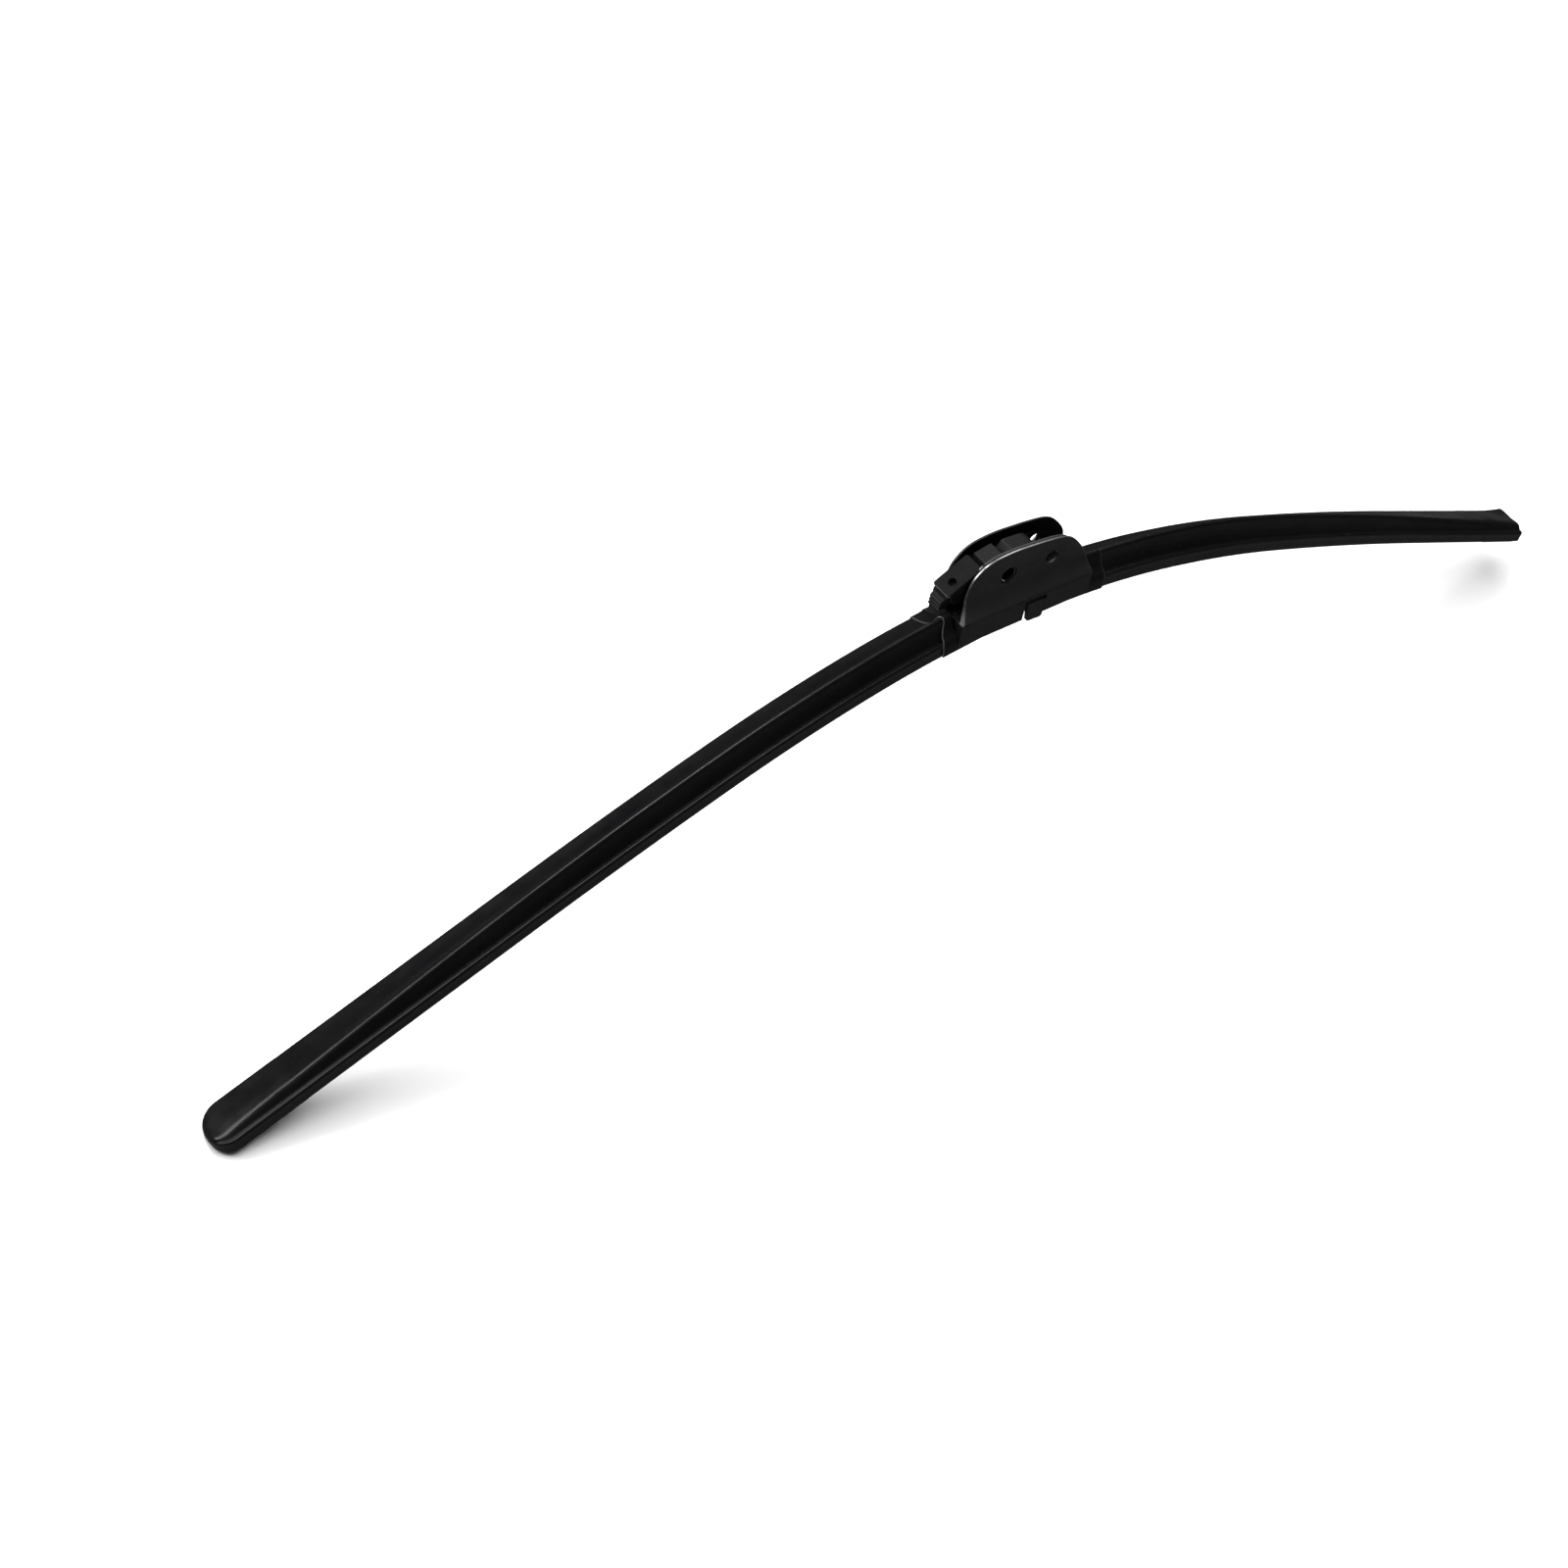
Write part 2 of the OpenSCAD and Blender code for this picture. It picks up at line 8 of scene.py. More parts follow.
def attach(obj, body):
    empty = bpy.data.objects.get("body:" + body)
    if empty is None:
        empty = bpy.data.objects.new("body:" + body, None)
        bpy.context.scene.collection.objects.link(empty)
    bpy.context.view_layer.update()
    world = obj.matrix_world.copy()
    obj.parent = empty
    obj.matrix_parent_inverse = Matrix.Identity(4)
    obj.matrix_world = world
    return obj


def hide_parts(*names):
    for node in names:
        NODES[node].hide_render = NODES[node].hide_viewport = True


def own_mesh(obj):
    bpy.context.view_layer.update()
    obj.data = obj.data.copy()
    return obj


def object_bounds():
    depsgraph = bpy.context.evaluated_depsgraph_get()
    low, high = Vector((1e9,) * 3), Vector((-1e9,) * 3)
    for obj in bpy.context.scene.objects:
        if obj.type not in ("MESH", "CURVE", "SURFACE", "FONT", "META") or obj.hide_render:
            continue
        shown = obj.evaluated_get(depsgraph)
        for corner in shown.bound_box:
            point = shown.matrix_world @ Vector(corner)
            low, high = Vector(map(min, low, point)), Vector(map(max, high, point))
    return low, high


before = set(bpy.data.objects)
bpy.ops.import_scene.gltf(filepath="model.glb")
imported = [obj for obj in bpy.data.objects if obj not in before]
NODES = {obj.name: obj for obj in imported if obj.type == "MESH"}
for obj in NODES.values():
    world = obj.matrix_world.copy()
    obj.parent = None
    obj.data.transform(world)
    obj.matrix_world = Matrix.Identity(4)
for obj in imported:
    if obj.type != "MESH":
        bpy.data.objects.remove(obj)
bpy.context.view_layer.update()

MM = 0.001

# ---------------------------------------------------------------- the beam
# The same chain of bends as the CAD model, in millimetres.
APEX_X, APEX_Z = 10.1, -13.0
MID_Y = 9.3
# lengths along the beam from its highest point to each tip, and of a cap
LEFT_TIP, RIGHT_TIP = 317.3, 280.3
# the parts inside the right cap stop short of its slanted end
RIGHT_INNER = RIGHT_TIP - 3.0
CAP = 31.5
# how far the spoilers reach into the caps
SPOILER_IN_CAP = 6.8
# the three bends of each arm: where each starts, and its radius
ZONE_START = (0.0, 60.0, 120.0)
ZONE_RADIUS = (286.0, 450.0, 1500.0)
STRAIGHT_FROM = 200.0


def bend_zones():
    """The slope at the start of each bend and of the straight end, and the centre of each bend."""
    angles, centres = [0.0], [(0.0, -ZONE_RADIUS[0])]
    ends = list(ZONE_START[1:]) + [STRAIGHT_FROM]
    for i, end in enumerate(ends):
        angles.append(angles[-1] + (end - ZONE_START[i]) / ZONE_RADIUS[i])
        if i < 2:
            step = ZONE_RADIUS[i] - ZONE_RADIUS[i + 1]
            a = angles[-1]
            centres.append((centres[-1][0] + step * math.sin(a), centres[-1][1] + step * math.cos(a)))
    return angles, centres


ANGLES, CENTRES = bend_zones()


def beam_at(u):
    """Distance, height and slope of the beam at a distance u from its highest point."""
    if u >= STRAIGHT_FROM:
        a = ANGLES[3]
        x = CENTRES[2][0] + ZONE_RADIUS[2] * math.sin(a) + (u - STRAIGHT_FROM) * math.cos(a)
        z = CENTRES[2][1] + ZONE_RADIUS[2] * math.cos(a) - (u - STRAIGHT_FROM) * math.sin(a)
        return x, z, a
    i = 0 if u < ZONE_START[1] else 1 if u < ZONE_START[2] else 2
    a = ANGLES[i] + (u - ZONE_START[i]) / ZONE_RADIUS[i]
    return (CENTRES[i][0] + ZONE_RADIUS[i] * math.sin(a),
            CENTRES[i][1] + ZONE_RADIUS[i] * math.cos(a), a)


def place(s, y, n):
    """A point at signed distance s along the beam, y across it and n above its ledge line."""
    x, z, a = beam_at(abs(s))
    side = -1 if s < 0 else 1
    return Vector((APEX_X + side * (x + n * math.sin(a)), y, APEX_Z + z + n * math.cos(a))) * MM


def smooth_line(points, parts):
    """Points of a soft curve through an open list of points."""
    out = []
    last = len(points) - 1
    for i in range(last):
        p0, p1 = points[max(i - 1, 0)], points[i]
        p2, p3 = points[i + 1], points[min(i + 2, last)]
        for k in range(parts):
            t = k / parts
            out.append(tuple(
                0.5 * (2 * b + (c - a) * t + (2 * a - 5 * b + 4 * c - d) * t * t
                       + (3 * b - a - 3 * c + d) * t ** 3)
                for a, b, c, d in zip(p0, p1, p2, p3)))
    out.append(tuple(points[last]))
    return out


def finish_mesh(name, bm, material, body, replaces, sharp):
    """An object from a mesh in metres, with edges over the angle sharp left hard."""
    bmesh.ops.recalc_face_normals(bm, faces=bm.faces)
    mesh = bpy.data.meshes.new(name)
    bm.to_mesh(mesh)
    bm.free()
    for p in mesh.polygons:
        p.use_smooth = True
    mesh.set_sharp_from_angle(angle=math.radians(sharp))
    mesh.materials.append(material)
    obj = bpy.data.objects.new(name, mesh)
    bpy.context.scene.collection.objects.link(obj)
    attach(obj, body)
    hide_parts(*replaces)
    return obj


def skin(name, rings, material, body, replaces, sharp):
    """A closed skin over rings with the same number of points."""
    bm = bmesh.new()
    rows = [[bm.verts.new(p) for p in ring] for ring in rings]
    count = len(rows[0])
    for a, b in zip(rows, rows[1:]):
        for j in range(count):
            k = (j + 1) % count
            bm.faces.new((a[j], a[k], b[k], b[j]))
    bm.faces.new(rows[0])
    bm.faces.new(rows[-1])
    return finish_mesh(name, bm, material, body, replaces, sharp)


def stops(lo, hi, step):
    """Evenly spaced numbers from lo to hi, about step apart."""
    n = max(1, round((hi - lo) / step))
    return [lo + (hi - lo) * i / n for i in range(n + 1)]


# ---------------------------------------------------------------- materials
def new_material(name):
    """A material with only an output and a shader, its node tree and the shader."""
    m = bpy.data.materials.new(name)
    m.use_nodes = True
    nt = m.node_tree
    nt.nodes.clear()
    out = nt.nodes.new("ShaderNodeOutputMaterial")
    bsdf = nt.nodes.new("ShaderNodeBsdfPrincipled")
    nt.links.new(bsdf.outputs[0], out.inputs[0])
    return m, nt, bsdf


def noise(nt, vector, scale, detail, rough=0.55):
    n = nt.nodes.new("ShaderNodeTexNoise")
    n.inputs["Scale"].default_value = scale
    n.inputs["Detail"].default_value = detail
    n.inputs["Roughness"].default_value = rough
    nt.links.new(vector, n.inputs["Vector"])
    return n.outputs["Fac"]


def ramp(nt, value, lo, hi, out_lo, out_hi):
    """A value moved from one range to another."""
    r = nt.nodes.new("ShaderNodeMapRange")
    r.inputs["From Min"].default_value = lo
    r.inputs["From Max"].default_value = hi
    r.inputs["To Min"].default_value = out_lo
    r.inputs["To Max"].default_value = out_hi
    nt.links.new(value, r.inputs["Value"])
    return r.outputs["Result"]


def mix_colour(nt, fac, a, b):
    m = nt.nodes.new("ShaderNodeMix")
    m.data_type = "RGBA"
    nt.links.new(fac, m.inputs["Factor"])
    for socket, value in ((m.inputs[6], a), (m.inputs[7], b)):
        if isinstance(value, tuple):
            socket.default_value = (*value, 1.0)
        else:
            nt.links.new(value, socket)
    return m.outputs[2]


def math_node(nt, op, a, b):
    m = nt.nodes.new("ShaderNodeMath")
    m.operation = op
    for socket, value in zip(m.inputs, (a, b)):
        if isinstance(value, (int, float)):
            socket.default_value = value
        else:
            nt.links.new(value, socket)
    return m.outputs[0]


def stretched(nt, scale):
    """Object coordinates stretched by a different amount on each axis."""
    coord = nt.nodes.new("ShaderNodeTexCoord")
    mapping = nt.nodes.new("ShaderNodeMapping")
    mapping.inputs["Scale"].default_value = scale
    nt.links.new(coord.outputs["Object"], mapping.inputs["Vector"])
    return mapping.outputs[0]


def add_bump(nt, bsdf, height, strength, depth):
    bump = nt.nodes.new("ShaderNodeBump")
    bump.inputs["Strength"].default_value = strength
    bump.inputs["Distance"].default_value = depth
    nt.links.new(height, bump.inputs["Height"])
    nt.links.new(bump.outputs[0], bsdf.inputs["Normal"])


def grain_finish(name, base, dust, rough, grain_scale, grain_depth, lines=0.0, specks=0.004,
                 metallic=0.0, spec=0.5):
    """Plastic, rubber or worn metal with grain, faint dust, specks and an uneven sheen.

    lines is the strength of the fine ridges along X.
    """
    m, nt, bsdf = new_material(name)
    plain = stretched(nt, (1, 1, 1))
    grain = noise(nt, plain, grain_scale, 4.0, 0.6)
    broad = noise(nt, plain, 28.0, 4.0, 0.6)
    haze = ramp(nt, broad, 0.35, 0.75, 0.0, 1.0)
    # sparse pale specks of dust
    cells = nt.nodes.new("ShaderNodeTexVoronoi")
    cells.inputs["Scale"].default_value = 420.0
    nt.links.new(plain, cells.inputs["Vector"])
    dots = ramp(nt, cells.outputs["Distance"], specks * 18, specks * 10, 0.0, 1.0)
    chosen = ramp(nt, noise(nt, plain, 90.0, 1.0), 0.60, 0.64, 0.0, 1.0)
    speck = math_node(nt, "MULTIPLY", dots, chosen)
    darker = tuple(c * 0.55 for c in base)
    tone = mix_colour(nt, ramp(nt, grain, 0.3, 0.7, 0.0, 1.0), darker, base)
    tone = mix_colour(nt, math_node(nt, "MULTIPLY", haze, 0.35), tone, dust)
    tone = mix_colour(nt, math_node(nt, "MULTIPLY", speck, 0.6), tone, (0.09, 0.087, 0.083))
    nt.links.new(tone, bsdf.inputs["Base Color"])
    wear = ramp(nt, noise(nt, plain, 120.0, 5.0, 0.65), 0.3, 0.7, rough - 0.08, rough + 0.08)
    nt.links.new(wear, bsdf.inputs["Roughness"])
    bsdf.inputs["Metallic"].default_value = metallic
    bsdf.inputs["Specular IOR Level"].default_value = spec
    height = grain
    if lines:
        along = noise(nt, stretched(nt, (12, 2600, 2600)), 1.0, 2.0, 0.5)
        height = math_node(nt, "ADD", height, math_node(nt, "MULTIPLY", along, lines))
    add_bump(nt, bsdf, height, 0.35, grain_depth)
    return m


def steel_finish(name, base, rough, brushed_axis):
    """Bare steel with faint stains, brushed along one axis."""
    m, nt, bsdf = new_material(name)
    scale = [700.0, 700.0, 700.0]
    scale[brushed_axis] = 40.0
    brush = noise(nt, stretched(nt, tuple(scale)), 6.0, 3.0, 0.6)
    plain = stretched(nt, (1, 1, 1))
    stain = ramp(nt, noise(nt, plain, 160.0, 4.0, 0.6), 0.4, 0.7, 0.0, 0.5)
    tone = mix_colour(nt, stain, base, tuple(c * 0.55 for c in base))
    nt.links.new(tone, bsdf.inputs["Base Color"])
    nt.links.new(ramp(nt, brush, 0.25, 0.75, rough - 0.07, rough + 0.1), bsdf.inputs["Roughness"])
    bsdf.inputs["Metallic"].default_value = 1.0
    add_bump(nt, bsdf, brush, 0.25, 0.00003)
    return m


SPOILER = grain_finish("spoiler_rubber", (0.0022, 0.0022, 0.0027), (0.007, 0.0068, 0.007), 0.33,
                       2600.0, 0.00004, lines=1.2, spec=0.4)
RUBBER = grain_finish("wiping_rubber", (0.004, 0.004, 0.0045), (0.01, 0.01, 0.01), 0.52,
                      1800.0, 0.00003, lines=0.8)
CAPS = grain_finish("cap_plastic", (0.0026, 0.0026, 0.0031), (0.007, 0.0068, 0.007), 0.33,
                    2400.0, 0.00004, spec=0.4)
BASE = grain_finish("base_plastic", (0.0055, 0.0054, 0.0060), (0.012, 0.0115, 0.012), 0.45,
                    3200.0, 0.00016, specks=0.005, spec=0.35)
BRACKET = grain_finish("bracket_coat", (0.0090, 0.0088, 0.0096), (0.020, 0.019, 0.020), 0.40,
                       3600.0, 0.00020, specks=0.005)
ADAPTER = grain_finish("adapter_plastic", (0.0078, 0.0074, 0.0078), (0.020, 0.018, 0.018), 0.52,
                       3000.0, 0.00007, specks=0.006, spec=0.16)
# painted shade: a darker, less glossy copy of the adapter plastic for the sloping top of the nose
LID_PAINTED_SHADE = grain_finish("adapter_lid_painted_shade", (0.0040, 0.0038, 0.0041), (0.010, 0.0095, 0.010), 0.55,
                   3000.0, 0.00007, specks=0.006, spec=0.09)
# painted shade: a darker copy of the adapter plastic for the faces out of the light
SHADED = grain_finish("adapter_painted_shade", (0.0022, 0.0021, 0.0024), (0.005, 0.0047, 0.005), 0.50,
                      3000.0, 0.00009, specks=0.004, spec=0.2)
# painted highlight: pale grey for the top edge of the near cheek and the lower left edge of the near wall
EDGE_PAINTED_HIGHLIGHT = grain_finish("painted_edge_highlight", (0.035, 0.034, 0.035), (0.05, 0.048, 0.05), 0.45,
                          3000.0, 0.00007, specks=0.004, spec=0.3)
RAIL = steel_finish("spring_steel", (0.09, 0.09, 0.095), 0.38, 0)
# painted shade: a darker copy of the bracket coat for the faces inside the channel
INSIDE_PAINTED_SHADE = grain_finish("bracket_painted_shade", (0.0014, 0.0014, 0.0017), (0.0035, 0.0033, 0.0035), 0.50,
                      3600.0, 0.00012, specks=0.003, spec=0.2)
COLLAR = grain_finish("collar_plastic", (0.0030, 0.0029, 0.0034), (0.007, 0.0068, 0.007), 0.42,
                      3200.0, 0.00008, specks=0.005, spec=0.22)
WORN_EDGE = grain_finish("worn_bracket_edge", (0.30, 0.30, 0.31), (0.34, 0.33, 0.33), 0.30,
                         2600.0, 0.00006, specks=0.002, metallic=0.85)
# painted highlight: pale glossy plastic for the lid's front edge and rear corner and the collars' free
# edges
LIP_PAINTED_HIGHLIGHT = grain_finish("painted_highlight_lip", (0.060, 0.059, 0.061), (0.08, 0.078, 0.078), 0.28,
                   2600.0, 0.00005, spec=0.8)
CLIP = steel_finish("clip_steel", (0.42, 0.42, 0.43), 0.36, 1)
TUBE = steel_finish("tube_steel", (0.11, 0.11, 0.115), 0.16, 1)
# painted glint: a pale, partly metallic finish for two patches of the tube's chamfer
CHAMFER_PAINTED_GLINT = grain_finish("painted_glint_chamfer", (0.55, 0.55, 0.57), (0.6, 0.59, 0.59), 0.35,
                    2600.0, 0.00006, specks=0.002, metallic=0.5)
BRIGHT = steel_finish("bright_steel", (0.36, 0.36, 0.37), 0.14, 1)

# ---------------------------------------------------------------- sections
# Points (y across, n above the ledge line), from the front skirt over the crest to the back.
SECTION = [
    (-0.9, -4.7), (-0.86, -4.2), (-0.78, -3.0), (-0.72, -1.8), (-0.76, -1.0), (-0.74, -0.4),
    (-0.52, 0.14), (-0.1, 0.33), (0.42, 0.27), (0.9, 0.1), (1.25, 0.42), (1.65, 1.1), (2.4, 2.5),
    (3.1, 4.25), (3.5, 5.6), (3.72, 6.35), (4.05, 6.84), (4.6, 7.0), (5.12, 6.86), (5.45, 6.4),
    (5.8, 5.5), (6.45, 3.95), (7.6, 2.1), (9.2, 0.4), (11.2, -1.05), (13.6, -2.25), (15.6, -3.0),
    (16.5, -3.35), (16.9, -3.75), (17.0, -4.2), (17.0, -4.7)]
# at the left cap, where the crest has run out
END_SECTION = [
    (-0.9, -4.7), (-0.86, -4.2), (-0.78, -3.0), (-0.72, -1.8), (-0.76, -1.0), (-0.74, -0.4),
    (-0.52, 0.14), (-0.1, 0.33), (0.42, 0.27), (0.9, 0.12), (1.25, 0.36), (1.55, 0.74), (1.85, 1.18),
    (2.15, 1.6), (2.45, 1.9), (2.75, 2.12), (3.1, 2.27), (3.5, 2.34), (3.95, 2.32), (4.4, 2.22),
    (4.9, 2.05), (5.8, 1.68), (7.2, 1.08), (9.2, -0.02), (11.2, -1.12), (13.6, -2.25), (15.6, -3.0),
    (16.5, -3.35), (16.9, -3.75), (17.0, -4.2), (17.0, -4.7)]
# the right end is lower at the front and a little narrower
RIGHT_END_SECTION = [
    (-0.9, -4.7), (-0.86, -4.3), (-0.8, -3.5), (-0.76, -2.7), (-0.78, -2.1), (-0.76, -1.65),
    (-0.52, -1.2), (-0.1, -1.02), (0.42, -1.08), (0.9, -1.2), (1.25, -0.95), (1.55, -0.58), (1.85, -0.15),
    (2.15, 0.35), (2.45, 0.68), (2.75, 0.94), (3.1, 1.14), (3.5, 1.26), (3.95, 1.3), (4.4, 1.25),
    (4.9, 1.14), (5.8, 0.88), (7.1, 0.42), (8.9, -0.3), (10.8, -1.1), (12.7, -1.95), (14.3, -2.6),
    (15.1, -2.95), (15.5, -3.3), (15.62, -3.9), (15.62, -4.7)]
# the slot under the spoiler for the rails and the rubber's head
SLOT = [
    (3.3, -4.7), (3.3, -4.25), (5.25, -4.25), (5.25, -3.15), (3.1, -3.15), (3.1, -1.85),
    (-3.1, -1.85), (-3.1, -3.15), (-5.25, -3.15), (-5.25, -4.25), (-3.3, -4.25), (-3.3, -4.7)]


def centred(points):
    """The points moved so that y = 0 is the middle of the beam."""
    return [(y - MID_Y, n) for y, n in points]


FULL = centred(smooth_line(SECTION, 3))
LOW = {-1: centred(smooth_line(END_SECTION, 3)), 1: centred(smooth_line(RIGHT_END_SECTION, 3))}
# where each side's crest starts to run out, and how suddenly
RUN_OUT = {-1: (120.0, 2.2), 1: (80.0, 1.25)}


def section_at(side, u, tip):
    """The spoiler's section, blended from the full crest to the low end of its side."""
    start, power = RUN_OUT[side]
    t = min(1.0, (max(0.0, u - start) / (tip - CAP - start)) ** power)
    return [(a[0] * (1 - t) + b[0] * t, a[1] * (1 - t) + b[1] * t) for a, b in zip(FULL, LOW[side])]


def make_spoiler(name, side, tip, first):
    """The rubber spoiler of one side, from its collar into its cap."""
    rings = []
    for u in stops(first, tip - CAP + SPOILER_IN_CAP, 3.5):
        rings.append([place(side * u, y, n) for y, n in section_at(side, u, tip) + SLOT])
    skin(name + "_skin", rings, SPOILER, "blade", (name,), 50)


make_spoiler("spoiler_left", -1, LEFT_TIP, 32.2)
make_spoiler("spoiler_right", 1, RIGHT_TIP, 25.2)

# ---------------------------------------------------------------- wiping rubber
# one half of the rubber's section: head, neck, body, hinge and lip
RUBBER_SECTION = [
    (3.0, -1.92), (3.04, -2.0), (3.04, -3.05), (2.96, -3.13), (1.05, -3.15),
    (1.0, -3.3), (1.0, -4.1), (1.05, -4.25), (2.9, -4.26), (3.0, -4.36), (3.0, -5.0),
    (2.9, -5.1), (0.8, -5.12), (0.58, -5.3), (0.55, -5.7), (0.58, -6.1), (0.8, -6.28),
    (1.75, -6.32), (1.9, -6.45), (1.85, -6.7), (1.45, -7.3), (0.95, -8.4), (0.6, -9.4),
    (0.47, -10.0), (0.45, -10.45), (0.4, -10.5)]
# how far the rubber stops short of LEFT_TIP and of RIGHT_INNER
LEFT_RUBBER_GAP, RIGHT_RUBBER_GAP = 12.5, 15
RUBBER_RING = RUBBER_SECTION + [(-y, n) for y, n in reversed(RUBBER_SECTION)]
skin("wiper_rubber_skin",
     [[place(s, y, n) for y, n in RUBBER_RING]
      for s in stops(LEFT_RUBBER_GAP - LEFT_TIP, RIGHT_INNER - RIGHT_RUBBER_GAP, 4)],
     RUBBER, "blade", ("wiper_rubber",), 50)


# ---------------------------------------------------------------- end caps
def corner(d, radius):
    """How far an edge pulls in at a distance d from the tip, for a rounded corner."""
    if d >= radius:
        return 0.0
    return radius - math.sqrt(max(0.0, radius ** 2 - (radius - d) ** 2))


# how far a cap stands out from the spoiler inside it, and the height of its underside
CAP_WALL = 0.06
CAP_BOTTOM = -4.76
# the last stretch over which the top edge rounds down
EDGE_ROUND = 2.4
# groove in the underside for the rubber, and the share of the cap's length that it takes
GROOVE_HALF, GROOVE_DEPTH, GROOVE_SHARE = 3.4, 0.6, 0.6
# the share of the length over which the underside is flat, as far as the strap inside
FLAT_SHARE = 0.64


def make_cap(name, side, tip, near_radius, far_radius, crest_end, squareness, skew, peak, lift):
    """An end cap with rounded corners.

    crest_end and squareness say how far its crest and its edge come down at the tip, skew how far its
    front is cut back, peak how far its back rises and lift how far its underside rises.
    """
    low = LOW[side]
    y_lo, y_hi = low[0][0] - CAP_WALL, low[-1][0] + CAP_WALL
    # height of the bead along the front
    bead = max(n for y, n in low if y < 0.6 - MID_Y)
    first = tip - CAP
    rings = []
    # rings crowd together over the last 10 mm, where the cap is rounded
    lengths = stops(first, tip - 10, 3) + [
        tip - 10 * (1 - k / 26) ** 1.7 for k in range(1, 26)] + [tip - 0.02]
    for u in lengths:
        d = tip - u
        near, far = corner(d, near_radius), corner(d, far_radius)
        along = (u - first) / CAP
        grow = CAP_WALL * min(1.0, (u - first) / 0.4 + 0.2)
        fall = along ** 1.5
        edge = corner(d, EDGE_ROUND) / EDGE_ROUND
        ring = []
        bottom = CAP_BOTTOM + lift * max(0.0, (along - FLAT_SHARE) / (1 - FLAT_SHARE)) ** 2
        for y, n in low:
            t = (y - low[0][0]) / (low[-1][0] - low[0][0])
            yy = (y_lo + near) * (1 - t) + (y_hi - far) * t
            lump = max(0.0, n - (bead - 3.4 * max(0.0, t - 0.06)))
            nn = n - lump * fall * crest_end + grow
            nn += peak * along ** 4 * max(0.0, t - 0.5) * 2 if n > -4.0 else 0.0
            nn = bottom + (nn - bottom) * (1 - squareness * edge)
            ring.append((yy, nn))
        ring[0] = (ring[0][0], bottom)
        ring[-1] = (ring[-1][0], bottom)
        groove = GROOVE_DEPTH if along < GROOVE_SHARE else 0.0
        half = min(GROOVE_HALF, (ring[-1][0] - ring[0][0]) / 2 - 0.2)
        centre = 0.0 if groove else max(ring[0][0] + half, min(ring[-1][0] - half, 0.0))
        ring += [(centre + half, bottom), (centre + half - 0.05, bottom + groove),
                 (centre - half + 0.05, bottom + groove), (centre - half, bottom)]
        # an end that is cut aslant is shorter at the front
        rings.append([
            place(side * (u - skew * along ** 3 * max(0.0, min(1.0, (y_hi - y) / (y_hi - y_lo)))), y, n)
            for y, n in ring])
    skin(name + "_skin", rings, CAPS, "blade", (name,), 50)


make_cap("end_cap_left", -1, LEFT_TIP - 1.0, near_radius=7.0, far_radius=9.0, crest_end=0.8,
         squareness=0.5, skew=0.0, peak=0.0, lift=0.0)
make_cap("end_cap_right", 1, RIGHT_TIP, near_radius=2.2, far_radius=1.4, crest_end=0.5,
         squareness=0.25, skew=7.5, peak=1.4, lift=2.0)


STRAP_SECTION = [
    (-5.5, -4.7), (-5.5, -2.95), (5.5, -2.95), (5.5, -4.7), (3.2, -4.7), (3.2, -4.3), (5.2, -4.3),
    (5.2, -3.15), (-5.2, -3.15), (-5.2, -4.3), (-3.2, -4.3), (-3.2, -4.7)]


def make_clip(name, side, tip):
    """A strap round both rails, hidden in its cap."""
    rings = [[place(side * u, y, n) for y, n in STRAP_SECTION] for u in (tip - 13.0, tip - 10.0, tip - 8.5)]
    skin(name + "_skin", rings, CLIP, "blade", (name,), 20)


make_clip("rail_clip_left", -1, LEFT_TIP)
make_clip("rail_clip_right", 1, RIGHT_INNER)


# ---------------------------------------------------------------- connector
def dress(name, material, bevel):
    """Finish a CAD piece: softened edges and a material."""
    obj = NODES[name]
    obj.data.materials.clear()
    obj.data.materials.append(material)
    for p in obj.data.polygons:
        p.use_smooth = True
    weld = obj.modifiers.new("weld", "WELD")
    weld.merge_threshold = 0.000002
    # join the flat triangles first, so that the soft edges have room
    flat = obj.modifiers.new("join_flat_faces", "DECIMATE")
    flat.decimate_type = "DISSOLVE"
    flat.angle_limit = math.radians(0.6)
    edges = obj.modifiers.new("soft_edges", "BEVEL")
    edges.width = bevel * MM
    edges.segments = 3
    edges.limit_method = "ANGLE"
    edges.angle_limit = math.radians(28)
    edges.miter_outer = "MITER_ARC"
    edges.harden_normals = False
    normals = obj.modifiers.new("normals", "WEIGHTED_NORMAL")
    normals.keep_sharp = True
    normals.weight = 60


# node, material and bevel width in millimetres
for node_name, finish, bevel_width in (
        ("connector_base", BASE, 0.15), ("release_button", ADAPTER, 0.12),
        ("latch_near", BASE, 0.2), ("latch_far", BASE, 0.2),
        ("pivot_washer", BRIGHT, 0.12),
        ("latch_pin_near", BRIGHT, 0.05), ("latch_pin_far", BRIGHT, 0.05),
        ("rivet_left", CLIP, 0.2), ("rivet_right", CLIP, 0.2),
        ("rail_clamp_left", CLIP, 0.12), ("rail_clamp_right", CLIP, 0.12),
        ("front_rail", RAIL, 0.1), ("rear_rail", RAIL, 0.1)):
    dress(node_name, finish, bevel_width)


